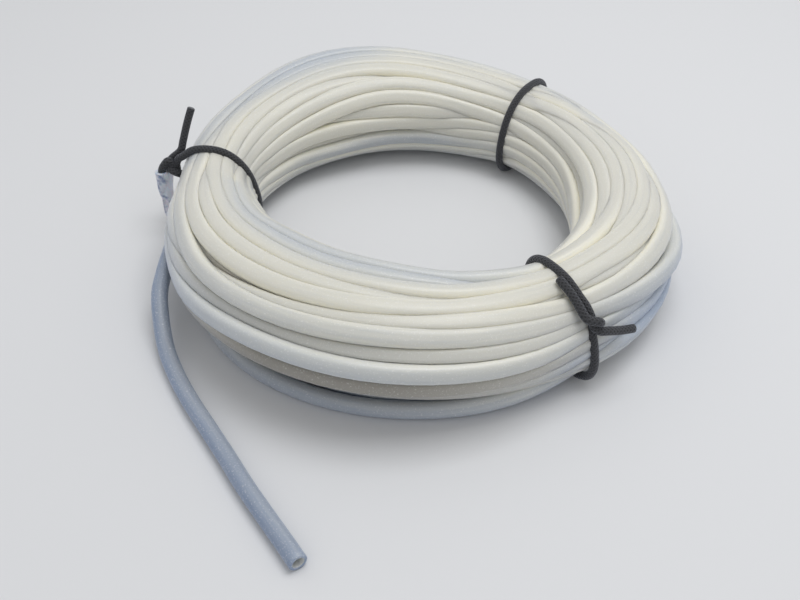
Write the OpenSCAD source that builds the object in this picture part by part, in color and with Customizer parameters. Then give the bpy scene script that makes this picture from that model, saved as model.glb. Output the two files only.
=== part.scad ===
// Silicone tubing coil.
// One long soft tube, wound by hand into a flat ring and held by three ties of round cord.
// The outer turn runs off the ring and lies beside it, down to a square cut, open end.
// A small blank folded label is pinched on the end of one tie.
// Millimetres, +Z up. The origin is on the resting surface, at the middle of the ring.

/* [Tubing] */
// Outside diameter of the tubing
tube_od = 8; // [6:0.1:10]
// Wall thickness of the tubing
tube_wall = 1.5; // [0.8:0.1:2]

/* [Coil] */
// Clear width through the middle of the ring
coil_id = 152; // [120:1:320]
// Width that the wound bundle may take, across the turns
bundle_w = 58; // [46:1:70]
// Height that the wound bundle may take
bundle_h = 52; // [40:1:66]
// Slack between neighbouring turns
turn_gap = 0.3; // [0.1:0.1:1]
// How far the lowest turns are pressed flat by the weight on them
flat_press = 0.25; // [0.1:0.05:0.5]
// Depth of the valleys between neighbouring turns
valley = 2; // [1.2:0.1:2.6]

/* [Tail] */
// Straight run of the outer turn where it leaves the ring, until it is clear of it
leave_run = 48; // [44:1:70]
// Straight open end of the tail, where a fitting goes in
open_end = 12; // [10:1:30]

/* [Ties] */
// Thickness of the tie cord
cord_d = 4; // [3:0.1:4.5]
// Clearance between a tie and the tubing, and between strands of a knot
tie_gap = 0.3; // [0.2:0.05:0.5]
// How far the top of a tie beds into the turns
tie_bed = 1.5; // [0.5:0.1:2.5]
// Place of the left tie round the ring, in degrees
left_tie_at = 174; // [165:1:180]
// Place of the rear tie round the ring, in degrees
rear_tie_at = 51; // [40:1:65]
// Place of the front tie round the ring, in degrees
front_tie_at = -55; // [-70:1:-40]

/* [Label] */
// Width of the label at the cord
label_w = 10; // [6:0.5:14]
// Height of the label's lower end above the resting surface
label_foot = 6; // [1:0.5:10]
// Width of the label at its lower end
label_tip_w = 4; // [2:0.5:8]
// Thickness of the label strip
label_t = 0.4; // [0.3:0.05:0.8]

/* [Hidden] */
$fn = 64;

// Winding: layers of turns nest in each other, with one turn fewer in each layer
// that lies further from the middle one
pitch = tube_od + turn_gap;
rise = pitch * sin(60);
middle = floor((bundle_h - tube_od) / rise / 2);
layers = 2 * middle + 1;
widest = floor((bundle_w - tube_od) / pitch) + 1;
ring_r = coil_id / 2 + bundle_w / 2;
first_z = tube_od / 2 - flat_press;
top_z = first_z + (layers - 1) * rise + tube_od / 2;
fill = tube_od / 2 - valley;

function layer_z(i) = first_z + i * rise;
function layer_turns(i) = widest - abs(i - middle);
function layer_half(i) = (layer_turns(i) - 1) / 2 * pitch;

// Ties: an oval round the bundle, just clear of the resting surface
tie_foot = cord_d / 2 + tie_gap;
tie_half_h = (top_z - tie_bed - tie_foot) / 2;
tie_half_w = bundle_w / 2 - tie_gap * 2;
tie_mid_z = tie_foot + tie_half_h;
tie_round = 2.4;        // exponent of the oval: 2 is an ellipse, more is squarer
oval_step = 7.5;
neck = cord_d / 2 + tie_gap;
seat_r = 1.8 * cord_d;  // round seat that a knot presses into the turns
lay_lift = 1.2;         // lift of a strand that lies on the turns beside a tie, in cords
cord_facets = 8;
hose_facets = 12;
skin = 0.02;            // the leaving turn and the hose stay this far inside the turn they follow

// Angle of each knot round the bundle: 0 faces outward, 90 up
left_knot = 28;
rear_knot = -22;
front_knot = 30;

function unit(v) = v / norm(v);
function spow(v, e) = sign(v) * pow(abs(v), e);

// Point of the oval at an angle: 0 faces outward, 90 up; grow is the distance outside it
function oval(a, grow) = [
    (tie_half_w + grow) * spow(cos(a), 2 / tie_round),
    (tie_half_h + grow) * spow(sin(a), 2 / tie_round)];

// Point near a tie: angle round the bundle, lift off it and shift along the turns, in cords
function by_tie(at, spot) =
    let (p = oval(spot[0], spot[1] * cord_d), x = ring_r + p[0], s = spot[2] * cord_d)
    [x * cos(at) - s * sin(at), x * sin(at) + s * cos(at), tie_mid_z + p[1]];

// A smooth curve through hand-placed points
function curve(a, b, c, d, t) =
    b + (c - a) * t / 2 + (2 * a - 5 * b + 4 * c - d) * t * t / 2
    + (3 * b - a - 3 * c + d) * t * t * t / 2;
function smooth(p, steps) =
    let (last = len(p) - 1)
    [for (i = [0 : last - 1]) for (j = [0 : steps - 1])
        curve(p[max(i - 1, 0)], p[i], p[i + 1], p[min(i + 2, last)], j / steps),
     p[last]];

// Headings along a path, and a sideways vector carried along it without twist
function headings(p) =
    [for (i = [0 : len(p) - 1]) unit(p[min(i + 1, len(p) - 1)] - p[max(i - 1, 0)])];
function carry(side, ahead) = unit(side - (side * ahead) * ahead);
function sideways(ahead) =
    [for (i = 0, s = carry([0.3, 0.2, 1], ahead[0]); i < len(ahead);
          i = i + 1, s = i < len(ahead) ? carry(s, ahead[i]) : s) s];
function rings(p, ahead, side, r, facets) =
    [for (i = [0 : len(p) - 1]) for (k = [0 : facets - 1])
        let (a = 360 * k / facets)
        p[i] + r * (cos(a) * side[i] + sin(a) * cross(ahead[i], side[i]))];
function wall(from, count, facets, inward) =
    [for (i = [0 : count - 2]) for (k = [0 : facets - 1])
        let (a = from + i * facets + k, b = from + i * facets + (k + 1) % facets)
        inward ? [b, b + facets, a + facets, a] : [a, a + facets, b + facets, b]];

// Round cord with closed ends
module cord(path, d) {
    ahead = headings(path);
    count = len(path);
    points = rings(path, ahead, sideways(ahead), d / 2, cord_facets);
    start = [for (k = [0 : cord_facets - 1]) k];
    end = [for (k = [cord_facets - 1 : -1 : 0]) (count - 1) * cord_facets + k];
    polyhedron(points, concat([start], wall(0, count, cord_facets, false), [end]));
}

// Hollow hose: an outer and an inner wall, joined by a flat ring at each end
module hose(path, ahead, od, id) {
    count = len(path);
    n = hose_facets;
    side = sideways(ahead);
    points = concat(rings(path, ahead, side, od / 2 - skin, n),
        rings(path, ahead, side, id / 2 - skin, n));
    in = count * n;
    last = (count - 1) * n;
    start = [for (k = [0 : n - 1]) let (m = (k + 1) % n) [k, m, in + m, in + k]];
    end = [for (k = [0 : n - 1]) let (m = (k + 1) % n)
        [last + m, last + k, in + last + k, in + last + m]];
    polyhedron(points, concat(wall(0, count, n, false), wall(in, count, n, true), start, end));
}

// Section of the wound bundle: every turn a ridge on a filled core, flat underneath
module bundle_section() {
    last = layers - 1;
    side = [for (i = [0 : last]) [layer_half(i) + fill / sin(60), layer_z(i)]];
    right = concat([[layer_half(0), layer_z(0) - fill]], side,
        [[layer_half(last), layer_z(last) + fill]]);
    left = [for (i = [len(right) - 1 : -1 : 0]) [-right[i][0], right[i][1]]];
    difference() {
        union() {
            polygon(concat(right, left));
            for (i = [0 : last])
                for (k = [0 : layer_turns(i) - 1])
                    translate([k * pitch - layer_half(i), layer_z(i)])
                        circle(d = tube_od);
        }
        translate([-bundle_w, -tube_od])
            square([2 * bundle_w, tube_od]);
    }
}

// The outermost turn of the layer under the middle one runs straight off the ring
leave_layer = middle - 1;
leave_r = ring_r + layer_half(leave_layer);
leave_z = layer_z(leave_layer);

// The tail's route from there, with the part of the way down to the surface it has sunk
tail_points = [
    [0, 0, 0], [0, -14, 0.2], [3, -29, 0.6], [8, -44, 0.9], [16, -60, 1], [25, -75, 1],
    [35, -90, 1], [45, -105, 1], [54, -119, 1], [63, -132, 1], [73, -146, 1]];
tail_heading = -55;

module leaving_turn() {
    translate([-leave_r, 0, leave_z])
        rotate([90, 0, 0])
            cylinder(r = tube_od / 2 - skin, h = leave_run);
}

// Band round the bundle, outside an oval that is grown by a distance
module band(width, grow) {
    rotate([90, 0, 0])
        linear_extrude(width, center = true)
            difference() {
                square([2 * bundle_w, 2 * bundle_h], center = true);
                polygon([for (a = [0 : oval_step : 359]) oval(a, grow)]);
            }
}

// Groove that a tie draws in round the bundle, with room for a strand that lies beside it
// and a round seat under its knot
module tie_groove(at, knot) {
    rotate([0, 0, at])
        translate([ring_r, 0, tie_mid_z]) {
            band(2 * neck, -neck);
            band(2 * seat_r, lay_lift * cord_d - neck);
            seat = oval(knot, -neck);
            translate([seat[0], 0, seat[1]])
                rotate([0, 90 - atan2(seat[1], seat[0]), 0])
                    cylinder(r = seat_r, h = bundle_w);
        }
}

module tubing_coil() {
    color("gainsboro")
        difference() {
            union() {
                rotate_extrude($fn = 180)
                    translate([ring_r, 0])
                        bundle_section();
                leaving_turn();
            }
            tie_groove(left_tie_at, left_knot);
            tie_groove(rear_tie_at, rear_knot);
            tie_groove(front_tie_at, front_knot);
        }
}

module tubing_tail() {
    start = [-leave_r, -leave_run, leave_z];
    sink = leave_z - tube_od / 2;
    path = [for (p = tail_points) start + [p[0], p[1], -p[2] * sink]];
    last = len(path) - 1;
    turned = headings(path);
    ahead = [for (i = [0 : last])
        i == 0 ? [0, -1, 0] : i == last ? [cos(tail_heading), sin(tail_heading), 0] : turned[i]];
    bore_d = tube_od - 2 * tube_wall;
    color("lightsteelblue") {
        hose(path, ahead, tube_od, bore_d);
        translate(path[last])
            rotate([0, 90, tail_heading])
                difference() {
                    cylinder(d = tube_od, h = open_end);
                    translate([0, 0, -1])
                        cylinder(d = bore_d, h = open_end + 2);
                }
    }
}

// One end of a tie wraps once round the other: angle from the knot, lift and shift in cords
knot_wrap = [
    [3.5, 2.05, -0.85], [0.5, 2.3, 0], [-1.5, 1.95, 0.85], [-3, 1.15, 1.15],
    [-5, 0.35, 0.85], [-9, 0.02, 0]];
knot_core = [[42, 0, 0], [26, 0.25, 0], [15, 0.85, 0], [5, 1.15, 0], [-5, 1.15, 0]];

// Whole route of a tie, from one cut end to the other
function tie_route(at, knot, first_end, last_end) =
    let (loop = [for (a = [-22 : -13 : -308]) [a, 0, 0]],
         core = [for (s = knot_core) [s[0] - 360, s[1], s[2]]],
         last = [for (s = last_end) [s[0] - 360, s[1], s[2]]])
    [for (s = concat(first_end, knot_wrap, loop, core, last))
        by_tie(at, [knot + s[0], s[1], s[2]])];

// One end of the left tie hangs down and turns outward, as the bar that carries the label.
// Its points are outward from the turns, along them and up from mid-height, in cords.
bar_points = [
    [0.75, 0.5, 2.1], [0.75, 0.8, 1.05], [0.9, 0.9, 0.32], [1.3, 0.9, 0], [1.8, 0.9, 0]];
bar_shift = 0.9 * cord_d;
bar_from = bundle_w / 2 + 1.35 * cord_d;
bar_spare = 2;

function beside_tie(at, out, along, up) =
    let (x = ring_r + out)
    [x * cos(at) - along * sin(at), x * sin(at) + along * cos(at), tie_mid_z + up];

module left_tie() {
    at = left_tie_at;
    route = tie_route(at, left_knot,
        [[44, 4.7, -2.2], [36, 3.9, -2], [26, 3.1, -1.8], [16, 2.5, -1.5], [8, 1.9, -1.3]], []);
    bar = [for (p = bar_points)
        beside_tie(at, bundle_w / 2 + p[0] * cord_d, p[1] * cord_d, p[2] * cord_d)];
    tip = beside_tie(at, bar_from + label_w + bar_spare, bar_shift, 0);
    half = beside_tie(at, bar_from + label_w / 2, bar_shift, 0);
    color("#1c1c1e")
        cord(smooth(concat(route, bar, [half, tip]), 3), cord_d);
}

module rear_tie() {
    route = tie_route(rear_tie_at, rear_knot,
        [[22, 1.3, -3.6], [18, lay_lift, -2.5], [13, lay_lift, -1.6], [8, 1.35, -1.25]],
        [[-12, lay_lift, 0.2], [-16, 1.25, 1], [-18, 1.25, 2.2], [-19, 1.3, 3.6]]);
    color("#1c1c1e")
        cord(smooth(route, 3), cord_d);
}

module front_tie() {
    route = tie_route(front_tie_at, front_knot,
        [[58, lay_lift, -1.2], [46, lay_lift, -1.2], [32, 1.25, -1.2], [18, 1.25, -1.2],
         [8, 1.35, -1.25]],
        [[-12, lay_lift, 0.3], [-16, 1.25, 1.2], [-19, 1.25, 2.6], [-22, 1.3, 5.2]]);
    color("#1c1c1e")
        cord(smooth(route, 3), cord_d);
}

// A strip folded over the bar, its two halves stuck together below it and cut to a taper
module label_tag() {
    sleeve_r = cord_d / 2 + tie_gap;
    label_len = tie_mid_z - label_foot;
    color("aliceblue")
        rotate([0, 0, left_tie_at])
            translate([ring_r + bar_from, bar_shift, tie_mid_z])
                intersection() {
                    rotate([90, 0, 90])
                        linear_extrude(label_w)
                            difference() {
                                union() {
                                    circle(r = sleeve_r + label_t);
                                    translate([-label_t, -label_len])
                                        square([2 * label_t, label_len]);
                                }
                                circle(r = sleeve_r);
                            }
                    rotate([90, 0, 0])
                        linear_extrude(cord_d * 3, center = true)
                            polygon([[0, cord_d], [label_w, cord_d], [label_w, -cord_d],
                                [label_tip_w, -label_len], [0, -label_len]]);
                }
}

tubing_coil();
tubing_tail();
left_tie();
rear_tie();
front_tie();
label_tag();
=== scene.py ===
"""Silicone tubing coil: the looks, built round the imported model.

One length of milky tubing is wound here turn by turn, so that every strand of the ring is real,
and its free end lies beside the ring. Three knotted cords and a folded label go with it.

Sizes are in metres unless a comment says otherwise. An azimuth is in degrees round the ring: 0 is
to the right and 90 at the back. An angle in the bundle's section is in degrees too: 0 faces
outward and 90 up. A share of the outline is 0 in the middle of the section and 1 on its outline.
"""

import math

import bpy
import numpy as np
from mathutils import Matrix, Vector


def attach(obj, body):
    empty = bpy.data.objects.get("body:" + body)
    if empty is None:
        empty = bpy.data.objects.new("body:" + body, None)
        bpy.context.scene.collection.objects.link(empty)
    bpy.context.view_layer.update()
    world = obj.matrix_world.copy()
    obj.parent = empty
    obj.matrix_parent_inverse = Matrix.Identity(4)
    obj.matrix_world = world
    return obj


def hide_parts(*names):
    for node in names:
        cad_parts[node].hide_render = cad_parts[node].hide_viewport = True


MM = 0.001
TINY = 1e-9             # keeps a division from failing

# The camera, at the photograph's viewing angle
CAMERA_AT = (0, -0.4098, 0.3201)
CAMERA_RIGHT = Vector((0.99978, 0.01637, -0.01279))
CAMERA_UP = Vector((-0.00129, 0.66349, 0.74818))
CAMERA_LENS = 43.3      # in mm, as is the sensor's width
CAMERA_SENSOR = 36

# The tubing
TUBE_D = 8 * MM
TUBE_WALL = 1.5 * MM
TUBE_SIDES = 20
CUT_ROUND = 0.35 * MM   # rounding of the rims at its two cuts
FLOOR_SKIN = 0.01 * MM  # how far over the floor its lowest points stay
TURNS = 37
PLACES = 90             # places round the ring where the strands are laid
FIRST_PLACE = 180.0     # azimuth where the winding starts and where the tail leaves

# The wound bundle: azimuth, then middle radius, width, bottom, top, and how far the top leans
# outward, in mm
SECTIONS = [
    (0, 100, 49, 0, 50, 0), (25, 96, 42, 1, 47, 3), (52, 95.5, 39, 4, 47.3, 5.5),
    (70, 97, 50, 1, 50, 3), (85, 99, 58, 0, 53, 0), (100, 104, 68, 0, 56, 0), (118, 108, 73, 0, 57, 0),
    (150, 107, 48, 1, 52, 2), (173, 107, 35, 4, 47.8, 4.2), (180, 105.8, 38, 4, 47.5, 2.2),
    (190, 105, 51, 2, 49, 0), (200, 105, 54, 1, 51, 0), (228, 106, 69, 0, 58, 0),
    (258, 108, 73, 0, 59, 0), (285, 109.5, 60, 1, 54, -3), (305, 110.2, 41, 4, 49.1, -7.5),
    (330, 109, 54, 0, 51, -2),
]
BUNDLE_ROUND = 2.3      # exponent of the bundle's outline: 2 is an ellipse, more is squarer

# How the turns start: each in a slot of the bundle's section
SEED = 46
SLOT_STEP = 0.298       # distance between slots, where the section is one unit in half its width
SLOT_CHANCE = 0.6       # how much chance there is in the order in which the slots are filled
SLOT_AFTER_LAST = (0.8, -0.3)
CHANGE_AT = (0.15, 0.85)    # where on its way round a turn moves over to the next slot
CHANGE_RUN = 0.45       # and how long that takes, as shares of a turn
WANDER = 0.07           # how far a turn strays from its slot

# How the turns settle
PASSES = 300
LAST_PASSES = 30        # in these the turns are pushed less and straightened more
SPACING = (0.76, 1.04)  # least and most distance between turns, in diameters
FILL = 0.78             # share of the section that the turns fill
HOLD = 0.25             # how strongly a turn that stands out is drawn to its course
DRIFT = 0.012           # how strongly the turns press outward
DRIFT_FADE = 0.1        # distance from the middle within which they do so less
STIFF = 0.45            # how strongly the tubing straightens
PUSH = 0.35             # how strongly turns push each other apart
LAST_PUSH = 0.14
CROSSING = 0.7          # turns nearer than this share of their spacing run through each other
OVER = 0.5              # and how strongly the outer one is then led over the inner one
DRAW_IN = 0.5           # how strongly a turn is drawn back inside the outline
FLOOR_PRESS = 0.2 * MM  # how far the lowest turns are pressed flat by the floor
SMOOTHING = 10          # passes that smooth the turns at the end
SMOOTH_STIFF = 0.5
SMOOTH_DRAW_IN = 0.6
FREE_PASSES = 3         # the last of them, in which the outline doesn't bind the turns

# How the turns press each other out of round
BULGE = 0.06            # how far a crowded turn bulges into the gaps, as a share of its radius
SQUARE = 0.18           # and how far more it fills the corners between its neighbours
NEAR = 0.12             # turns count as touching up to this gap, as a share of their diameter
CROWD = 3               # touching neighbours that crowd a turn fully
MOST_PRESS = 1.3 * MM   # how far a turn is pressed in by a neighbour at most
LEAST_WALL = 3.0 * MM   # and how near its middle
PRESS_OVERLAP = 0.04 * MM   # how far two pressed walls pass each other, so that no gap shows

# Turns that stand out: how blue each looks, where a value below 0 gives brown-grey painted shade
# instead, then its azimuth, its angle in the section and its share of the outline. Azimuths past
# 360 go on round the ring, since the winding starts at 180.
PROUD = [
    (0.45, [(200, -60, 1.02), (212, -57, 1.1), (230, -55, 1.15), (250, -60, 1.13), (270, -61, 1.1),
            (285, -62, 1.09), (296, -64, 1.04), (303, -62, 1)]),
    (-1.0, [(218, -4, 0.9), (228, 2, 0.9), (240, 6, 0.9), (260, 5, 0.89), (275, 2, 0.89),
            (288, -3, 0.93)]),
    (-0.9, [(215, -52, 0.8), (225, -53, 0.73), (235, -54, 0.71), (260, -56, 0.7), (275, -55, 0.72),
            (290, -52, 0.8)]),
    (0.0, [(205, 4, 1), (215, 13, 1), (225, 20, 1.01), (235, 24, 1.02), (250, 25, 1.03),
           (265, 23, 1.02), (275, 20, 1.01), (290, 13, 1), (303, 6, 1)]),
    (0.15, [(188, 52, 1), (200, 47, 1), (220, 45, 1), (240, 48, 1), (260, 55, 1), (280, 50, 1),
            (295, 40, 1), (308, 31, 1.02), (317, 28, 1.04), (323, 25, 1.07), (329, 22, 1.12),
            (335, 20, 1.18), (341, 16, 1.2), (347, 9, 1.13), (354, 0, 1.04), (362, -9, 1)]),
    (0.0, [(334, 45, 1.04), (341, 39, 1.07), (350, 38, 1.04), (365, 46, 1), (395, 54, 1), (420, 60, 1),
           (440, 68, 1.02), (455, 72, 1.03), (470, 70, 1.03), (485, 67, 1.02), (510, 74, 1)]),
    (0.0, [(190, 66, 1), (205, 67, 1), (220, 68, 1), (240, 73, 1), (260, 74, 1), (285, 76, 1),
           (303, 76, 1), (312, 74, 1), (320, 70, 1), (330, 66, 1), (340, 56, 1)]),
    (0.0, [(182, 92, 1), (190, 103, 1), (200, 108, 1), (220, 103, 1), (250, 97, 1), (280, 94, 1),
           (307, 97, 1), (320, 88, 1), (330, 82, 1), (340, 72, 1), (350, 66, 1), (360, 60, 1),
           (372, 66, 1), (385, 78, 1), (408, 90, 1)]),
    (0.0, [(190, 130, 1), (210, 125, 1.02), (230, 124, 1.03), (250, 125, 1.03), (275, 125, 1.02),
           (307, 118, 1), (320, 112, 1), (335, 104, 1), (350, 98, 1), (370, 99, 1), (390, 106, 1),
           (410, 112, 1)]),
    (0.05, [(318, 135, 1), (335, 131, 1.02), (350, 130, 1.04), (362, 133, 1.04), (378, 135, 1.03),
            (405, 134, 1), (428, 138, 1), (440, 134, 1), (450, 128, 1), (465, 127, 1), (480, 132, 1),
            (500, 139, 1)]),
    (0.0, [(428, 154, 1), (440, 147, 1), (455, 142, 1), (465, 142, 1), (485, 150, 1), (500, 156, 1)]),
    (0.5, [(425, 205, 1), (445, 200, 1), (460, 197, 1), (472, 198, 1), (482, 203, 1), (500, 212, 1)]),
    (0.0, [(468, 90, 1), (485, 97, 1), (500, 95, 1), (512, 88, 1), (528, 92, 1)]),
]
PROUD_FADE = 10         # degrees of azimuth in which such a course takes hold and lets go

# Gaps between turns: azimuth and angle, then half the gap's width in degrees and its depth as a
# share of the outline
GAPS = [
    [(208, -40, 24, 0.2), (222, -38, 30, 0.32), (235, -36, 32, 0.36), (270, -36, 32, 0.36),
     (288, -36, 28, 0.28), (300, -36, 20, 0.12)],
    [(210, 30, 4, 0.1), (225, 32, 5, 0.16), (240, 34, 5, 0.16), (258, 37, 5, 0.16), (280, 32, 4, 0.1)],
    [(206, 56, 5, 0.15), (218, 57, 9, 0.28), (230, 60, 9, 0.28), (243, 62, 6, 0.22),
     (262, 64, 4, 0.12)],
    [(308, 14, 20, 0.08), (325, 8, 25, 0.15), (345, 0, 25, 0.14), (360, 0, 20, 0.08)],
    [(332, 155, 6, 0.2), (345, 152, 7, 0.28), (365, 150, 8, 0.3), (382, 151, 7, 0.26),
     (398, 150, 5, 0.15)],
    [(438, 168, 4, 0.12), (455, 167, 5, 0.16), (472, 165, 5, 0.16), (484, 162, 4, 0.12)],
    [(450, 188, 5, 0.2), (470, 187, 7, 0.26), (484, 184, 8, 0.3), (500, 186, 8, 0.3),
     (514, 188, 6, 0.15)],
]
# Where the turns look bluer: on the rims the tubing's own tint, low down and on its outward faces
# painted shade. Azimuth and angle, then half the zone's width in degrees and its strength
BLUE_TINT_AND_SHADE_ZONES = [
    [(188, 118, 11, 0.3), (230, 116, 13, 0.5), (275, 112, 13, 0.5), (300, 110, 12, 0.3)],
    [(385, 70, 12, 0.3), (420, 66, 12, 0.35), (440, 70, 14, 0.3), (455, 72, 16, 0.2),
     (465, 75, 20, 0.45), (476, 78, 24, 0.6), (490, 78, 22, 0.6), (505, 76, 20, 0.5),
     (520, 70, 20, 0.4), (535, 60, 20, 0.35)],
    [(298, -25, 30, 0.45), (305, -16, 34, 0.65), (314, -10, 38, 0.9), (330, -10, 40, 1.0),
     (345, -12, 36, 0.9), (362, -18, 30, 0.5)],
    [(190, 8, 32, 0.45), (200, 10, 34, 0.6), (225, 8, 34, 0.6), (260, 5, 32, 0.55),
     (285, -2, 30, 0.4), (300, -10, 28, 0.4)],
    [(200, -80, 22, 0.6), (235, -78, 24, 0.9), (280, -80, 24, 0.9), (300, -80, 20, 0.7)],
]
ZONE_FADE = 6           # degrees of azimuth in which a gap or a zone begins and ends

# The tail: where the last turn leaves the ring, its straight run, and its route after that, as x
# and y from the end of that run in mm and how far it has sunk to the floor, from 0 to 1
LEAVE = Vector((-125.75, 0, 18.13)) * MM
LEAVE_RUN = 48 * MM
LEAVE_PULL = [(-1, 0.6), (-2, 0.4)]     # how strongly the winding's last places are drawn to it
TAIL = [
    (0, 0, 0), (0, -14, 0.2), (3, -29, 0.6), (8, -44, 0.9), (16, -60, 1), (25, -75, 1),
    (35, -90, 1), (45, -105, 1), (54, -119, 1), (63, -132, 1), (73, -146, 1),
]
TAIL_HEADING = math.radians(-55)
OPEN_END = 12 * MM
TAIL_BESIDE = 30        # degrees in which the tail runs beside the first turns

# How the tubing's colour varies: bluish painted shade near the floor, brown-grey painted shade in
# gaps, and paler on its lit side as a painted highlight
LOW_SHADE_BELOW = 16 * MM
LOW_SHADE_FADE = 12 * MM
LOW_SHADE = 0.57
GAP_SHADE_FROM = 0.12       # depth of a gap where the brown starts
GAP_SHADE_FADE = 0.14
GAP_SHADE = 0.8
LIT_SIDE = (0.34, 0, 0.94)
LIT = 0.36
BORE_PAINTED_LIGHT = 0.7         # painted light in the bore: how much less thin tint and shade the tubing gets inside it

# The ties
CORD_D = 4 * MM
CORD_SIDES = 16
CORD_ROUND = 0.4 * MM   # rounding of a cord's cut ends
CORE_SHARE = 0.45       # radius of the core in a cut end, as a share of the cord's
CORE_SUNK = 0.3         # and how deep it is sunk, as a share of that rounding
TIE_ROUND = 2.4         # exponent of a tie's oval
TIE_BED = 0.6 * MM      # how far a tie beds into the sides of the bundle
TIE_TOP_BED = 0.8 * MM  # and into its top
TIE_OVER_FLOOR = 0.15 * MM
LEFT_TIE_AT, LEFT_KNOT = 173, 21        # azimuth of each tie, and the angle of its knot
REAR_TIE_AT, REAR_KNOT = 52, -22
FRONT_TIE_AT, FRONT_KNOT = -55, 23
LEFT_SLACK = 0.8 * MM   # how far the outer side of the left tie stands off the bundle
LAY = 1.2               # lift of a strand that lies on the turns beside a tie, in cords

# Points of a knot: angle round the bundle from the knot, lift and shift along the turns in cords
KNOT_WRAP = [
    (4, 1.4, -0.85), (0.5, 1.65, 0), (-1.5, 1.45, 0.4), (-3, 0.95, 0.65), (-5, 0.3, 0.5), (-9, 0, 0),
]
KNOT_LOOP = range(-22, -309, -13)       # angles of the points that go round the bundle
KNOT_CORE = [(42, 0, 0), (26, 0.1, 0), (15, 0.45, 0), (5, 0.6, 0), (-5, 0.6, 0)]
REAR_START = [(22, 1.3, -3.6), (18, LAY, -2.5), (13, LAY, -1.6), (8, 1.35, -1.25)]
REAR_END = [(-12, LAY, 0.2), (-16, 1.25, 1), (-18, 1.25, 2.2), (-19, 1.3, 3.6)]
FRONT_START = [
    (51, 0.6, -1.15), (42, 0.6, -1.15), (32, 0.7, -1.1), (18, 0.9, -1.1), (9, 1.15, -1.1),
]
FRONT_END = [(-10, 0.8, 0.5), (-13, 0.95, 1.6), (-17, 1, 3.2), (-20, 1.1, 5)]

# The left tie's ends stand free: one upright, and one as a bar that hangs and carries the label.
# Each point is its radius, its shift along the ring and its height, in mm.
BAR_R, BAR_SHIFT = 137.2, 3
LEFT_UPRIGHT = [
    (121.3, -13.5, 64.8), (123.2, -11.4, 59.5), (124.9, -9.2, 54), (126.4, -6.8, 48.5),
    (127.8, -4.8, 44),
]
LEFT_BAR = [
    (132.6, 1.4, 41), (135.4, 2.6, 39), (137.1, BAR_SHIFT, 35.5), (BAR_R, BAR_SHIFT, 31),
    (136.8, BAR_SHIFT, 27.5),
]

# The label: radius of its inner and outer edge, and its height, at its top and its foot, in mm
LABEL_TOP = (131, 141, 34.5)
LABEL_FOOT = (135.5, 139.5, 7)
LABEL_ACROSS = 11       # vertices across one side of the fold, and down it
LABEL_DOWN = 25
LABEL_SEED = 4
FILM = 0.15             # half the thickness of the folded strip, in mm
SLEEVE = 3.3            # how far the strip bulges round the bar, in mm
SLEEVE_R = 3.2          # half the width of that bulge, in mm

# The silicone's colours: milky where it is thick, then painted fill light in grooves between turns,
# bluish rims with painted shade low down, where it is thin and in painted shade near the floor,
# painted shade deep inside the bundle, in the shade of a gap, and its bright specks
MILKY = (0.66, 0.65, 0.585, 1)
GROOVE_FILL_LIGHT = (0.93, 0.90, 0.77, 1)
RIM_TINT_AND_LOW_SHADE = (0.34, 0.41, 0.53, 1)
THIN_TINT_AND_LOW_SHADE = (0.205, 0.265, 0.385, 1)
DEEP_SHADE = (0.56, 0.51, 0.42, 1)
SHADED = (0.31, 0.295, 0.265, 1)
SPECK = (0.85, 0.85, 0.84, 1)
DEEP_SHADE_FROM = 5 * MM      # depth inside the bundle where that painted shade starts, and where it is full
DEEP_SHADE_FULL = 12 * MM

BRAID_STRANDS = 6       # strands of the tie cord's braid that run round it each way
BRAID_STEP = 1.9 * MM


# ---------------------------------------------------------------------------- the bundle's section

def smooth_step(t):
    return t * t * (3 - 2 * t)


def section_at(azimuth):
    """The columns of SECTIONS at each azimuth, in metres, eased between stations."""
    table = np.array(SECTIONS, float)
    angle = np.concatenate([table[-1:, 0] - 360, table[:, 0], table[:1, 0] + 360])
    values = np.concatenate([table[-1:, 1:], table[:, 1:], table[:1, 1:]]) * MM
    azimuth = np.mod(azimuth, 360)
    i = np.clip(np.searchsorted(angle, azimuth, side="right") - 1, 0, len(angle) - 2)
    t = (azimuth - angle[i]) / (angle[i + 1] - angle[i])
    t = ((1 - np.cos(np.pi * t)) / 2)[:, None]
    return (values[i] * (1 - t) + values[i + 1] * t).T


def outline(angle):
    """Point at an angle on the outline of a bundle that is one unit in half its width and height."""
    c, s = np.cos(np.radians(angle)), np.sin(np.radians(angle))
    return np.stack([c, s], -1) * ((np.abs(c) ** BUNDLE_ROUND + np.abs(s) ** BUNDLE_ROUND)
                                   ** (-1 / BUNDLE_ROUND))[..., None]


def outline_share(u, v):
    """How far out a place of the section lies: 0 in its middle, 1 on the bundle's outline."""
    return (np.abs(u) ** BUNDLE_ROUND + np.abs(v) ** BUNDLE_ROUND) ** (1 / BUNDLE_ROUND)


def in_section(points):
    """Places of points in the bundle's section, where its outline is about 1 from the middle, and
    half the section's width and height."""
    azimuth = np.degrees(np.arctan2(points[:, 1], points[:, 0]))
    middle, width, bottom, top, tilt = section_at(azimuth)
    v = (points[:, 2] - (top + bottom) / 2) / ((top - bottom) / 2)
    u = (np.hypot(points[:, 0], points[:, 1]) - middle - tilt * v) / (width / 2)
    return u, v, width / 2, (top - bottom) / 2


def outward(points):
    """Unit vectors out of the bundle at the points, in its section."""
    u, v, half_w, half_h = in_section(points)
    radial = points[:, :2] / np.linalg.norm(points[:, :2], axis=1)[:, None]
    out = np.column_stack([radial * (u / half_w)[:, None], v / half_h])
    return out / np.maximum(np.linalg.norm(out, axis=1), TINY)[:, None]


def buried(points):
    """How deep each point lies inside the bundle's outline, in metres."""
    u, v, half_w, half_h = in_section(points)
    return np.clip(1 - outline_share(u, v), 0, 1) * np.minimum(half_w, half_h)


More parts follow.
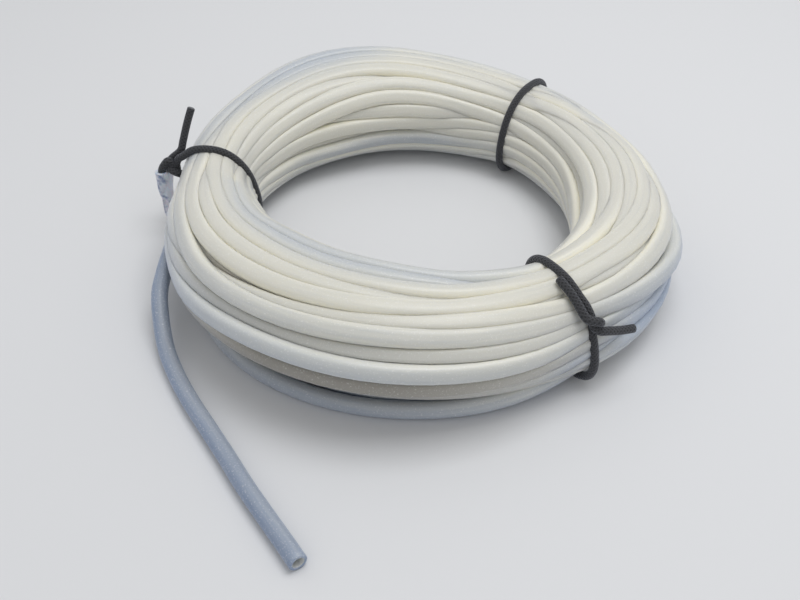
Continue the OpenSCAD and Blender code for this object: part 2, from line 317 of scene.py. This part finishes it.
def eased(azimuth, table, fade):
    """Columns of a given table at each azimuth, and a weight that fades out past its ends."""
    table = np.array(table, float)
    values = [np.interp(azimuth, table[:, 0], column) for column in table[:, 1:].T]
    inside = np.minimum(azimuth - table[0, 0], table[-1, 0] - azimuth)
    return values, smooth_step(np.clip(inside / fade + 1, 0, 1))


def zones(azimuth, angle, tables):
    """Summed strength, at each azimuth and angle, of the zones that given tables list."""
    total = np.zeros(angle.shape)
    for table in tables:
        (at, spread, strength), weight = eased(azimuth, table, ZONE_FADE)
        off_by = np.mod(angle - at + 180, 360) - 180
        total += strength * weight * np.exp(-(off_by / spread) ** 2)
    return total


def blue_tint_and_shade(points):
    """How blue the tubing looks at the points, from the zones of the outline that they lie in: its own
    tint on the rims, painted shade low down and outward.
    """
    u, v, _, _ = in_section(points)
    angle = np.degrees(np.arctan2(v, u))
    azimuth = np.degrees(np.arctan2(points[:, 1], points[:, 0]))
    azimuth = FIRST_PLACE + np.mod(azimuth - FIRST_PLACE, 360)
    near_outline = np.clip((outline_share(u, v) - 0.6) / 0.15, 0, 1)
    return np.clip(zones(azimuth, angle, BLUE_TINT_AND_SHADE_ZONES), 0, 1) * near_outline


# ---------------------------------------------------------------------------- the winding

class Stations:
    """The bundle's section at each place round the ring, for the middle lines of the turns. There a
    place in the section is either its radius and height in metres, or its shares of half the
    section's width and height, from -1 to 1."""

    def __init__(self, azimuth):
        middle, width, bottom, top, self.tilt = section_at(azimuth)
        self.half = np.stack([width, top - bottom], -1) / 2 - TUBE_D / 2
        self.centre = np.stack([middle, (top + bottom) / 2], -1)

    def metres(self, shares):
        p = self.centre + shares * self.half
        p[..., 0] += self.tilt * shares[..., 1]
        return p

    def shares(self, metres):
        u = (metres - self.centre) / self.half
        u[..., 0] -= self.tilt * u[..., 1] / self.half[:, 0]
        return u


def winding_order(random):
    """Slots of the turns in a unit disc, in the order in which they are wound: each next to the last."""
    grid = [(SLOT_STEP * (j + 0.5 * (i % 2)), SLOT_STEP * math.sqrt(0.75) * i)
            for i in range(-5, 6) for j in range(-5, 6)]
    grid = np.array(sorted(grid, key=lambda p: (round(math.hypot(*p), 6), p))[:TURNS])
    left = list(range(TURNS))
    order = [left.pop(int(np.argmin(grid[:, 0])))]
    while left:
        far = np.hypot(*(grid[left] - grid[order[-1]]).T) + random.uniform(0, SLOT_CHANCE, len(left))
        order.append(left.pop(int(np.argmin(far))))
    return grid[order]


def starting_places(random):
    """Where the turns start, in shares of the section: each in its slot, wandering a little, and
    moving over to the next slot somewhere on its way round."""
    slots = winding_order(random)
    following = np.vstack([slots[1:], [SLOT_AFTER_LAST]])
    turn = np.arange(PLACES) / PLACES
    change = random.uniform(*CHANGE_AT, TURNS)[:, None]
    over = smooth_step(np.clip((turn - change) / CHANGE_RUN + 0.5, 0, 1))[..., None]
    place = slots[:, None] * (1 - over) + following[:, None] * over
    wander = sum(
        random.normal(0, WANDER, (TURNS, 1, 2))
        * np.cos(2 * np.pi * (n * turn[None, :, None] + random.uniform(0, 1, (TURNS, 1, 2))))
        for n in (1, 2, 3))
    return place + wander * np.sin(np.pi * turn)[None, :, None]


def proud_turns(place, azimuth):
    """Gives each course in PROUD the turn that is nearest to the middle of it. For each place of
    each turn: its target, how firmly it is held there, its share of the outline and its tint."""
    target = np.zeros((TURNS, PLACES, 2))
    held = np.zeros((TURNS, PLACES))
    reach = np.ones((TURNS, PLACES))
    tint = np.zeros((TURNS, PLACES))
    for blue, table in PROUD:
        (angle, share), weight = eased(azimuth, table, PROUD_FADE)
        at = outline(angle) * share[:, None]
        middle = int(np.argmax(np.cumsum(weight) > weight.sum() / 2))
        # a turn that another course has taken there counts as far away
        far = np.linalg.norm(place[:, middle] - at[middle], axis=-1) + 10 * (held * weight).max(1)
        k = int(np.argmin(far))
        firmer = weight > held[k]
        target[k] = np.where(firmer[:, None], at, target[k])
        reach[k] = np.where(firmer, share, reach[k])
        tint[k] = np.where(firmer, blue * weight, tint[k])
        held[k] = np.maximum(held[k], weight)
    return target, held, reach, tint


def straighten(chain, share):
    """Moves each place of the wound tubing towards the middle of its two neighbours."""
    chain[1:-1] += share * ((chain[:-2] + chain[2:]) / 2 - chain[1:-1])


def push_apart(p, spacing, strength, out, centre):
    """Pushes turns apart that lie nearer than their spacing. Where two would run through each
    other, the one that is further out in the bundle goes over the other."""
    apart = p[:, None] - p[None]
    far = np.linalg.norm(apart, axis=-1) + TINY
    itself = np.arange(TURNS)
    push = np.clip(spacing - far, 0, None) / far
    push[itself, itself] = 0
    through = np.clip(CROSSING * spacing - far, 0, None)
    through[itself, itself] = 0
    p = p + strength * (apart * push[..., None]).sum(1)
    rise = (np.sign(out[:, None] - out[None]) * through).sum(1)
    away = p - centre
    return p + OVER * (rise / np.linalg.norm(away, axis=-1))[..., None] * away


def clear_of_tail(p, azimuth):
    """Pushes turns off the tail, where it runs straight on beside the first of them."""
    away = azimuth - FIRST_PLACE
    beside = (away > 0) & (away < TAIL_BESIDE)
    tail_r = np.hypot(LEAVE.x, LEAVE.x * np.tan(np.radians(np.where(beside, away, 0))))
    off = p - np.stack([tail_r, np.full(PLACES, LEAVE.z)], -1)
    far = np.linalg.norm(off, axis=-1) + TINY
    return p + off * (beside * np.clip(TUBE_D - far, 0, None) / far)[..., None]


def draw_in(u, limit, firm):
    """Draws places that lie past the limit, a share of the outline, back towards it."""
    out = outline_share(u[..., 0], u[..., 1])
    return u * np.where(out > limit, 1 + firm * (limit / np.maximum(out, TINY) - 1), 1)[..., None]


def wind():
    """Lays the turns: they start in their slots and push each other apart inside the bundle.
    Gives the tubing's path and how it looks at each place, from -1, in brown-grey painted shade, to
    1, blue and thin; near the floor that blue is painted shade."""
    random = np.random.default_rng(SEED)
    azimuth = FIRST_PLACE + 360 * np.arange(PLACES) / PLACES
    section = Stations(azimuth)
    u = starting_places(random)
    target, held, reach, tint = proud_turns(u, azimuth)
    out = outline_share(u[..., 0], u[..., 1])
    leaving = np.array([-LEAVE.x, LEAVE.z])
    lowest = ((TUBE_D / 2 - FLOOR_PRESS - section.centre) / section.half)[:, 1]

    # soft tubing gives where it is pressed, most of all under a tie
    room = np.pi * section.half.prod(-1)
    least, most = SPACING
    spacing = np.clip(np.sqrt(room / (TURNS * FILL)), least * TUBE_D, most * TUBE_D)

    for n in range(PASSES):
        last_passes = n > PASSES - LAST_PASSES
        u = u + (HOLD * held)[..., None] * (target - u)
        u = u + DRIFT * u / np.maximum(np.linalg.norm(u, axis=-1), DRIFT_FADE)[..., None]
        p = section.metres(u)
        chain = p.reshape(-1, 2)
        for _ in range(3 if last_passes else 1):
            straighten(chain, STIFF)
        for place, pull in LEAVE_PULL:
            chain[place] += pull * (leaving - chain[place])
        p = push_apart(p, spacing, LAST_PUSH if last_passes else PUSH, out, section.centre)
        u = section.shares(clear_of_tail(p, azimuth))
        out = outline_share(u[..., 0], u[..., 1])
        hollow = zones(azimuth, np.degrees(np.arctan2(u[..., 1], u[..., 0])), GAPS)
        u = draw_in(u, np.maximum(reach - hollow, held * reach), DRAW_IN)
        u[..., 1] = np.maximum(u[..., 1], lowest)

    # smooth the turns once more, and keep them from bridging the necks under the ties
    for n in range(SMOOTHING):
        p = section.metres(u)
        straighten(p.reshape(-1, 2), SMOOTH_STIFF)
        firm = SMOOTH_DRAW_IN if n < SMOOTHING - FREE_PASSES else 0
        u = draw_in(section.shares(p), np.maximum(1, reach), firm)

    p = section.metres(u)
    a = np.radians(azimuth)
    path = np.stack([p[..., 0] * np.cos(a), p[..., 0] * np.sin(a), p[..., 1]], -1)
    # painted shade low down, in the bluish thin tint
    low = LOW_SHADE * np.clip((LOW_SHADE_BELOW - p[..., 1]) / LOW_SHADE_FADE, 0, 1)
    # brown-grey painted shade on turns that lie down in deep gaps
    gap_shade = np.clip((hollow - GAP_SHADE_FROM) / GAP_SHADE_FADE, 0, 1) * (1 - held)
    thin_tint_and_painted_light = np.where(tint < 0, tint, np.maximum(tint, low)) * (1 - gap_shade) - GAP_SHADE * gap_shade
    return path.reshape(-1, 3), thin_tint_and_painted_light.reshape(-1)


def tail_path():
    """The tail's centreline, from where it leaves the ring to its cut end."""
    start = LEAVE + Vector((0, -LEAVE_RUN, 0))
    sink = LEAVE.z - TUBE_D / 2
    route = [LEAVE, LEAVE + Vector((0, -LEAVE_RUN / 3, 0)), LEAVE + Vector((0, -LEAVE_RUN * 2 / 3, 0))]
    route += [start + Vector((x * MM, y * MM, -fall * sink)) for x, y, fall in TAIL]
    heading = Vector((math.cos(TAIL_HEADING), math.sin(TAIL_HEADING), 0))
    route += [route[-1] + heading * OPEN_END]
    return rounded(route, steps=4)


# ---------------------------------------------------------------------------- swept tubes

def rounded(points, steps):
    """A Catmull-Rom curve through points, with steps points for each stretch."""
    p = np.asarray(points, float)
    p = np.vstack([2 * p[0] - p[1], p, 2 * p[-1] - p[-2]])
    t = (np.arange(steps) / steps)[:, None]
    out = []
    for a, b, c, d in zip(p[:-3], p[1:-2], p[2:-1], p[3:]):
        out.append(b + (c - a) * t / 2 + (2 * a - 5 * b + 4 * c - d) * t**2 / 2
                   + (3 * b - a - 3 * c + d) * t**3 / 2)
    return np.vstack(out + [p[-2:-1]])


def running_mean(values, reach):
    """Each value's mean with those up to reach places before and after it."""
    count = 2 * reach + 1
    return np.convolve(np.pad(values, reach, mode="edge"), np.ones(count) / count, mode="valid")


def distance_along(path):
    return np.concatenate([[0], np.cumsum(np.linalg.norm(np.diff(path, axis=0), axis=1))])


def carried_frames(path):
    """Headings along a path, and two side vectors that are carried along it without twist."""
    ahead = np.gradient(path, axis=0)
    ahead /= np.linalg.norm(ahead, axis=1)[:, None]
    side = np.zeros_like(path)
    s = np.array([0.3, 0.2, 1.0])
    for i, a in enumerate(ahead):
        s = s - s.dot(a) * a
        s /= np.linalg.norm(s)
        side[i] = s
    return ahead, side, np.cross(ahead, side)


def spokes(side, other, sides):
    """Unit vectors round a tube, for one place of its path or for several."""
    a = 2 * np.pi * np.arange(sides) / sides
    return np.cos(a)[:, None] * side[..., None, :] + np.sin(a)[:, None] * other[..., None, :]


def mesh_object(name, verts, faces, smooth=True):
    mesh = bpy.data.meshes.new(name)
    mesh.from_pydata([tuple(v) for v in verts], [], faces)
    mesh.validate()
    if smooth:
        mesh.shade_smooth()
    obj = bpy.data.objects.new(name, mesh)
    bpy.context.scene.collection.objects.link(obj)
    return obj


def set_uv(mesh, sides, along):
    """UV of a swept tube: once round it, and its length in metres along it."""
    layer = mesh.uv_layers.new(name="UVMap")
    uv = np.zeros((len(mesh.loops), 2), np.float32)
    vert = np.empty(len(mesh.loops), np.int32)
    mesh.loops.foreach_get("vertex_index", vert)
    uv[:, 0] = (vert % sides) / sides
    uv[:, 1] = np.asarray(along)[vert // sides]
    first = np.empty(len(mesh.polygons), np.int32)
    total = np.empty(len(mesh.polygons), np.int32)
    mesh.polygons.foreach_get("loop_start", first)
    mesh.polygons.foreach_get("loop_total", total)
    for start, count in zip(first, total):
        u = uv[start:start + count, 0]
        if count == 4 and u.max() - u.min() > 0.5:
            u[u < 0.5] += 1
    layer.data.foreach_set("uv", uv.ravel())


def tube_object(name, rings, along):
    """A closed tube through rings of vertices, each at its length along the tube."""
    count, sides, _ = rings.shape
    faces = []
    for i in range(count - 1):
        for k in range(sides):
            a = i * sides + k
            b = i * sides + (k + 1) % sides
            faces.append((a, b, b + sides, a + sides))
    faces.append(tuple(range(sides))[::-1])
    faces.append(tuple((count - 1) * sides + k for k in range(sides)))
    obj = mesh_object(name, rings.reshape(-1, 3), faces)
    set_uv(obj.data, sides, along)
    return obj


def point_layer(mesh, name, values):
    """Gives the mesh's points an attribute that its material reads."""
    layer = mesh.attributes.new(name, "FLOAT", "POINT")
    layer.data.foreach_set("value", np.asarray(values).reshape(-1).astype(np.float32))


# ---------------------------------------------------------------------------- the tubing

def neighbours(turns, along):
    """Distance and direction from each turn to each other, square to the first, at each place."""
    apart = np.full((TURNS, TURNS, PLACES), 1.0)
    toward = np.zeros((TURNS, TURNS, PLACES, 3))
    for i in range(TURNS):
        to = turns - turns[i]
        to -= (to * along[i]).sum(-1)[..., None] * along[i]
        apart[i] = np.linalg.norm(to, axis=-1)
        apart[i, i] = 1.0
        toward[i] = to / apart[i][..., None]
    return apart, toward


def tube_wall(path, ahead, side, other):
    """The outer wall round each point of the path, and where it lies in a groove and gets painted fill
    light. Turns bulge where they are crowded and lie flat against their neighbours where they meet."""
    wound = TURNS * PLACES
    apart, toward = neighbours(path[:wound].reshape(TURNS, PLACES, 3),
                               ahead[:wound].reshape(TURNS, PLACES, 3))
    touching = np.clip(((1 + NEAR) * TUBE_D - apart) / (NEAR * TUBE_D), 0, 1).sum(1).reshape(-1)
    crowded = np.clip(running_mean(touching, reach=4) / CROWD, 0, 1)[:, None]

    spoke = spokes(side, other, TUBE_SIDES)
    wall = spoke * TUBE_D / 2
    facing = np.einsum("nkc,nc->nk", spoke[:wound], outward(path[:wound]))
    grown = 1 + crowded * (BULGE + SQUARE * (1 - (2 * facing * facing - 1) ** 2))
    turns = wall[:wound].reshape(TURNS, PLACES, TUBE_SIDES, 3)  # a view of the wall, turn by turn
    turns *= grown.reshape(TURNS, PLACES, TUBE_SIDES, 1)
    for i in range(TURNS):
        for j in np.nonzero(apart[i].min(-1) < (1 + BULGE + SQUARE) * TUBE_D)[0]:
            flat = np.maximum(apart[i, j] / 2 - PRESS_OVERLAP, LEAST_WALL)
            over = np.einsum("pkc,pc->pk", turns[i], toward[i, j]) - flat[:, None]
            turns[i] -= np.clip(over, 0, MOST_PRESS)[..., None] * toward[i, j][:, None]
    # what faces into the bundle lies in a groove, where it gets painted fill light
    groove_fill_light = np.zeros((len(path), TUBE_SIDES))
    groove_fill_light[:wound] = crowded * np.clip((0.9 - facing) / 0.5, 0, 1)
    return wall, groove_fill_light


def make_tubing():
    coil, thin_tint_and_painted_light = wind()
    tail = tail_path()
    path = np.vstack([coil, tail])
    thin_tint_and_painted_light = running_mean(np.concatenate([thin_tint_and_painted_light, np.ones(len(tail))]), reach=6)
    distance = distance_along(path)
    ahead, side, other = carried_frames(path)
    walls, groove_fill_lights = tube_wall(path, ahead, side, other)
    outer, inner, last = TUBE_D / 2, TUBE_D / 2 - TUBE_WALL, len(path) - 1
    rings, tone, run, groove_fill_light = [], [], [], []

    def add(i, radius, shift=0.0, bore=0.0):
        """A round ring at a place of the path. The bore gets painted fill light, as a groove does."""
        rings.append(path[i] + ahead[i] * shift + radius * spokes(side[i], other[i], TUBE_SIDES))
        tone.append(thin_tint_and_painted_light[i] * (1 - BORE_PAINTED_LIGHT * bore))
        run.append(distance[i] + shift)
        groove_fill_light.append(np.full(TUBE_SIDES, bore))

    # the bore of the first cut, its rim, the outer wall, and the same again at the tail's cut
    for i in (6, 3, 1):
        add(i, inner, 0, 1)
    add(0, inner, CUT_ROUND, 1)
    add(0, inner + CUT_ROUND)
    add(0, outer - CUT_ROUND)
    add(0, outer, CUT_ROUND)
    for i in range(1, last):
        rings.append(path[i] + walls[i])
        tone.append(thin_tint_and_painted_light[i])
        run.append(distance[i])
        groove_fill_light.append(groove_fill_lights[i])
    add(last, outer, -CUT_ROUND)
    add(last, outer - CUT_ROUND)
    add(last, inner + CUT_ROUND)
    add(last, inner, -CUT_ROUND, 1)
    for i in range(last - 1, last - len(tail) + 1, -1):
        add(i, inner, 0, 1)

    rings = np.stack(rings)
    # painted highlight: the side of each ring towards LIT_SIDE gets less thin tint, so it looks paler
    lit = np.einsum("nkc,c->nk", rings - rings.mean(1, keepdims=True), LIT_SIDE)
    lit = np.clip(lit / outer, 0, 1).reshape(-1)
    rings[..., 2] = np.maximum(rings[..., 2], FLOOR_SKIN)
    verts = rings.reshape(-1, 3)
    tone = np.repeat(np.array(tone), TUBE_SIDES)
    tone -= LIT * np.clip(tone, 0, 1) * lit ** 2

    tube = tube_object("silicone_tube", rings, run)
    point_layer(tube.data, "thin_tint_and_painted_light", tone)
    point_layer(tube.data, "rim_tint_and_low_shade", blue_tint_and_shade(verts) * (1 + np.clip(tone, -1, 0)))
    point_layer(tube.data, "depth", buried(verts))
    point_layer(tube.data, "groove_fill_light", np.stack(groove_fill_light))
    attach(tube, "root")
    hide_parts("tubing_coil", "tubing_tail")
    return tube


# ---------------------------------------------------------------------------- ties

class Tie:
    """A cord round the bundle at an azimuth, with its knot at an angle of the section. Its outer
    side stands off the bundle by the slack."""

    def __init__(self, azimuth, knot, slack=0.0):
        self.azimuth, self.knot, self.slack = math.radians(azimuth), knot, slack
        self.middle, width, _, top, self.tilt = section_at(np.array([azimuth]))[:, 0]
        self.half_w = width / 2 + CORD_D / 2 - TIE_BED
        foot = CORD_D / 2 + TIE_OVER_FLOOR
        self.half_h = (top + CORD_D / 2 - TIE_TOP_BED - foot) / 2
        self.level = foot + self.half_h

    def beside(self, radius, along, height):
        """A point by the tie, from its radius, its shift along the ring and its height."""
        c, s = math.cos(self.azimuth), math.sin(self.azimuth)
        return (radius * c - along * s, radius * s + along * c, height)

    def spot(self, angle, lift, shift):
        """A point on the tie's oval, from its angle past the knot, its lift and shift in cords."""
        a = math.radians(self.knot + angle)
        c, s = math.cos(a), math.sin(a)
        x = (self.half_w + lift * CORD_D) * math.copysign(abs(c) ** (2 / TIE_ROUND), c)
        z = (self.half_h + lift * CORD_D) * math.copysign(abs(s) ** (2 / TIE_ROUND), s)
        x += self.slack * max(0.0, c) ** 2
        x += self.tilt * z / self.half_h
        return self.beside(self.middle + x, shift * CORD_D, self.level + z)

    def route(self, start, end):
        """The whole cord: its first end, round the knot and the bundle, and its last end."""
        loop = [(a, 0, 0) for a in KNOT_LOOP]
        core = [(a - 360, lift, shift) for a, lift, shift in KNOT_CORE]
        return start + [self.spot(*s) for s in KNOT_WRAP + loop + core] + end


def make_cord(name, route, node):
    path = rounded(route, steps=5)
    ahead, side, other = carried_frames(path)
    run = distance_along(path)
    r = CORD_D / 2

    def ring(i, radius, shift=0.0):
        return path[i] + ahead[i] * shift + radius * spokes(side[i], other[i], CORD_SIDES)

    # each cut end is a rim round a slightly sunken core
    core_r, sunk = r * CORE_SHARE, CORD_ROUND * CORE_SUNK
    rings = [ring(0, core_r, sunk), ring(0, r - CORD_ROUND), ring(0, r, CORD_ROUND)]
    rings += [ring(i, r) for i in range(1, len(path) - 1)]
    rings += [ring(-1, r, -CORD_ROUND), ring(-1, r - CORD_ROUND), ring(-1, core_r, -sunk)]
    obj = tube_object(name, np.stack(rings), np.concatenate([run[:1]] * 2 + [run] + [run[-1:]] * 2))
    inside = np.zeros(len(rings) * CORD_SIDES)
    inside[:CORD_SIDES] = 1
    inside[-CORD_SIDES:] = 1
    point_layer(obj.data, "core", inside)
    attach(obj, "root")
    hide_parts(node)
    return obj


def make_ties():
    left = Tie(LEFT_TIE_AT, LEFT_KNOT, LEFT_SLACK)
    upright, bar = [[left.beside(r * MM, along * MM, z * MM) for r, along, z in end]
                    for end in (LEFT_UPRIGHT, LEFT_BAR)]
    ties = [make_cord("tie_left", left.route(upright, bar), "left_tie")]
    for name, node, at, knot, start, end in [
            ("tie_rear", "rear_tie", REAR_TIE_AT, REAR_KNOT, REAR_START, REAR_END),
            ("tie_front", "front_tie", FRONT_TIE_AT, FRONT_KNOT, FRONT_START, FRONT_END)]:
        tie = Tie(at, knot)
        start = [tie.spot(*point) for point in start]
        end = [tie.spot(a - 360, lift, shift) for a, lift, shift in end]
        ties.append(make_cord(name, tie.route(start, end), node))
    return ties


# ---------------------------------------------------------------------------- the label

def label_point(u, v, phase):
    """Radius, height, middle of the fold along the ring and half its thickness there, in mm, at a
    share u across the label and v down it."""
    inner, outer, z = [a * (1 - v) + b * v for a, b in zip(LABEL_TOP, LABEL_FOOT)]
    r = inner + (outer - inner) * u
    z += 0.8 * math.sin(3 * u + phase[0]) * (1 - v)
    # three waves that cross each other crease the strip, more towards its foot
    crease = (1.1 * abs(math.sin(2.3 * v * math.pi + 1.7 * u + phase[1]))
              + 0.8 * abs(math.sin(3.7 * u - 4.1 * v + phase[2]))
              + 0.4 * math.sin(9 * v + 5 * u + phase[3])) * (0.35 + 0.65 * v)
    sleeve = SLEEVE * math.exp(-((r - BAR_R) / SLEEVE_R) ** 4) * max(0.0, 1 - v * 1.6)
    return r, z, BAR_SHIFT + crease * min(1, 3 * v), FILM + sleeve


def make_label():
    """A crumpled strip, folded round the bar of the left tie and stuck to itself."""
    tie = Tie(LEFT_TIE_AT, LEFT_KNOT)
    phase = np.random.default_rng(LABEL_SEED).uniform(0, 6.28, 4)
    front, back = [], []
    for j in range(LABEL_DOWN):
        for i in range(LABEL_ACROSS):
            r, z, middle, half = label_point(i / (LABEL_ACROSS - 1), j / (LABEL_DOWN - 1), phase)
            front.append(tie.beside(r * MM, (middle + half) * MM, z * MM))
            back.append(tie.beside(r * MM, (middle - half) * MM, z * MM))

    n = LABEL_ACROSS * LABEL_DOWN
    faces = []
    for j in range(LABEL_DOWN - 1):
        for i in range(LABEL_ACROSS - 1):
            a = j * LABEL_ACROSS + i
            b = a + LABEL_ACROSS
            faces.append((a, a + 1, b + 1, b))
            faces.append((n + a, n + b, n + b + 1, n + a + 1))
    # the edge, all the way round, joins the two sides
    edge = (list(range(LABEL_ACROSS)) + list(range(2 * LABEL_ACROSS - 1, n, LABEL_ACROSS))
            + list(range(n - 2, n - LABEL_ACROSS - 1, -1))
            + list(range(n - 2 * LABEL_ACROSS, 0, -LABEL_ACROSS)))
    for a, b in zip(edge, edge[1:] + edge[:1]):
        faces.append((a, n + a, n + b, b))
    obj = mesh_object("label", front + back, faces, smooth=False)
    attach(obj, "root")
    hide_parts("label_tag")
    return obj


# ---------------------------------------------------------------------------- materials

class Nodes:
    """A material, and short names for the nodes that the materials here use."""

    def __init__(self, name):
        self.material = bpy.data.materials.new(name)
        self.material.use_nodes = True
        self.nodes = self.material.node_tree.nodes
        self.links = self.material.node_tree.links
        self.shader = self.nodes["Principled BSDF"]

    def add(self, kind, inputs, **settings):
        node = self.nodes.new(kind)
        for key, value in settings.items():
            setattr(node, key, value)
        for key, value in inputs.items():
            self.feed(node.inputs[key], value)
        return node

    def feed(self, socket, value):
        if isinstance(value, bpy.types.NodeSocket):
            self.links.new(value, socket)
        else:
            socket.default_value = value

    def set(self, **inputs):
        for key, value in inputs.items():
            self.feed(self.shader.inputs[key.replace("_", " ")], value)

    def math(self, operation, a, b=0.0, clamp=False):
        return self.add("ShaderNodeMath", {0: a, 1: b}, operation=operation, use_clamp=clamp).outputs[0]

    def blend(self, factor, a, b):
        return self.add("ShaderNodeMix", {"Factor": factor, "A": a, "B": b},
                        data_type="RGBA").outputs["Result"]

    def ramp(self, value, low, high):
        return self.add("ShaderNodeMapRange", {"Value": value, "From Min": low, "From Max": high},
                        clamp=True).outputs["Result"]

    def noise(self, scale, detail, vector=None):
        if vector is None:
            vector = self.add("ShaderNodeTexCoord", {}).outputs["Object"]
        return self.add("ShaderNodeTexNoise",
                        {"Scale": scale, "Detail": detail, "Vector": vector}).outputs["Fac"]

    def uv(self):
        return self.add("ShaderNodeUVMap", {}, uv_map="UVMap").outputs["UV"]

    def attribute(self, name):
        return self.add("ShaderNodeAttribute", {}, attribute_name=name).outputs["Fac"]

    def bump(self, height, distance, strength):
        node = self.add("ShaderNodeBump", {"Height": height, "Distance": distance, "Strength": strength})
        self.set(Normal=node.outputs["Normal"])


def silicone_material():
    m = Nodes("silicone")
    stretched = m.add("ShaderNodeMapping", {"Vector": m.uv(), "Scale": (18, 30, 1)}).outputs["Vector"]
    lines = m.noise(scale=1.0, detail=3, vector=stretched)
    # the thin tint: the tubing's own blue where it is thin, with painted shade near the floor and a
    # painted highlight on its lit side; below 0, brown-grey painted shade
    tint = m.attribute("thin_tint_and_painted_light")
    thin_tint_and_painted_light = m.math("ADD", tint, m.math("MULTIPLY", m.math("SUBTRACT", lines, 0.5), 0.4), True)
    # painted shade deep inside the bundle
    deep_shade = m.ramp(m.attribute("depth"), DEEP_SHADE_FROM, DEEP_SHADE_FULL)
    grain = m.noise(scale=1400, detail=1)
    speck = m.math("MULTIPLY", m.ramp(grain, 0.60, 0.75), 0.35)
    # painted fill light: grooves between turns, and the bore, are lighter
    colour = m.blend(m.attribute("groove_fill_light"), MILKY, GROOVE_FILL_LIGHT)
    # blends: the rims' own bluish tint with painted shade low down, the thin tint, painted shade deep
    # inside and in gaps, and bright specks
    for share, shade in [(m.attribute("rim_tint_and_low_shade"), RIM_TINT_AND_LOW_SHADE), (thin_tint_and_painted_light, THIN_TINT_AND_LOW_SHADE), (deep_shade, DEEP_SHADE),
                         (m.ramp(tint, 0, -1), SHADED), (speck, SPECK)]:
        colour = m.blend(share, colour, shade)
    m.set(Base_Color=colour, IOR=1.41, Subsurface_Weight=0.4, Subsurface_Scale=0.006,
          Subsurface_Radius=(1.0, 0.95, 0.8), Sheen_Weight=0.25, Sheen_Roughness=0.35,
          Sheen_Tint=(0.72, 0.80, 1.0, 1), Coat_Weight=0.3, Coat_Roughness=0.3)
    patches = m.noise(scale=220, detail=3)
    m.set(Roughness=m.math("ADD", m.math("MULTIPLY", patches, 0.22), 0.30))
    m.bump(m.math("ADD", m.math("MULTIPLY", grain, 0.5), lines), distance=0.12 * MM, strength=0.6)
    return m.material


def cord_material():
    m = Nodes("tie_cord")
    uv = m.add("ShaderNodeSeparateXYZ", {"Vector": m.uv()})
    round_it = m.math("MULTIPLY", uv.outputs["X"], 2 * math.pi * BRAID_STRANDS)
    along = m.math("MULTIPLY", uv.outputs["Y"], 2 * math.pi / BRAID_STEP)
    left = m.math("SINE", m.math("ADD", round_it, along))
    right = m.math("SINE", m.math("SUBTRACT", along, round_it))
    braid = m.math("MAXIMUM", left, right)
    fuzz = m.noise(scale=2600, detail=2)
    shade = m.math("ADD", m.math("MULTIPLY", braid, 0.35), m.math("MULTIPLY", fuzz, 0.8), True)
    colour = m.blend(shade, (0.007, 0.007, 0.009, 1), (0.045, 0.047, 0.054, 1))
    colour = m.blend(m.attribute("core"), colour, (0.16, 0.165, 0.18, 1))
    m.set(Base_Color=colour, Roughness=0.62, Sheen_Weight=0.25, Sheen_Roughness=0.4,
          Sheen_Tint=(0.8, 0.85, 1.0, 1))
    m.bump(m.math("ADD", braid, fuzz), distance=0.3 * MM, strength=0.7)
    return m.material


def label_material():
    m = Nodes("label_film")
    # painted shade of the label's creases: dark blue patches laid by noise
    crease_shade = m.ramp(m.noise(scale=210, detail=3), 0.36, 0.54)
    colour = m.blend(crease_shade, (0.14, 0.19, 0.34, 1), (0.60, 0.63, 0.71, 1))
    m.set(Base_Color=colour, Roughness=0.38, Subsurface_Weight=0.2, Subsurface_Scale=0.001)
    m.bump(m.noise(scale=420, detail=3), distance=0.4 * MM, strength=0.5)
    return m.material


# ---------------------------------------------------------------------------- stage, light, camera

def make_stage():
    bpy.ops.mesh.primitive_plane_add(size=6, location=(0, 0, 0))
    floor = bpy.context.object
    floor.name = "floor"
    m = Nodes("floor")
    m.set(Base_Color=(0.70, 0.71, 0.73, 1), Roughness=0.8)
    floor.data.materials.append(m.material)


def make_light():
    world = bpy.data.worlds.new("studio")
    world.use_nodes = True
    background = world.node_tree.nodes["Background"]
    background.inputs["Color"].default_value = (1, 1, 1, 1)
    background.inputs["Strength"].default_value = 0.62
    bpy.context.scene.world = world
    data = bpy.data.lights.new("key", "AREA")
    data.shape = "SQUARE"
    data.size = 0.7
    data.energy = 6.2
    lamp = bpy.data.objects.new("key", data)
    lamp.location = (0.25, 0.05, 1.15)
    lamp.rotation_euler = (-Vector(lamp.location)).to_track_quat("-Z", "Y").to_euler()
    bpy.context.scene.collection.objects.link(lamp)
    bpy.context.scene.view_settings.view_transform = "Standard"


def make_camera():
    data = bpy.data.cameras.new("camera")
    data.lens = CAMERA_LENS
    data.sensor_width = CAMERA_SENSOR
    camera = bpy.data.objects.new("camera", data)
    forward = CAMERA_UP.cross(CAMERA_RIGHT)
    turn = Matrix((CAMERA_RIGHT, CAMERA_UP, -forward)).transposed().to_4x4()
    camera.matrix_world = Matrix.Translation(CAMERA_AT) @ turn
    bpy.context.scene.collection.objects.link(camera)
    bpy.context.scene.camera = camera


# ---------------------------------------------------------------------------- build

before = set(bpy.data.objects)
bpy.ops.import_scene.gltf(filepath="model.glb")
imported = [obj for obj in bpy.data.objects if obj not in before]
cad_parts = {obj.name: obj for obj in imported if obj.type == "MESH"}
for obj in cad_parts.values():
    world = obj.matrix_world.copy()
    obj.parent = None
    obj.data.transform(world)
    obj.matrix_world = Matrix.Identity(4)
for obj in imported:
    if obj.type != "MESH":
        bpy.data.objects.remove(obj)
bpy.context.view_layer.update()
make_camera()
make_tubing().data.materials.append(silicone_material())
cord_look = cord_material()
for tie in make_ties():
    tie.data.materials.append(cord_look)
make_label().data.materials.append(label_material())
make_stage()
make_light()
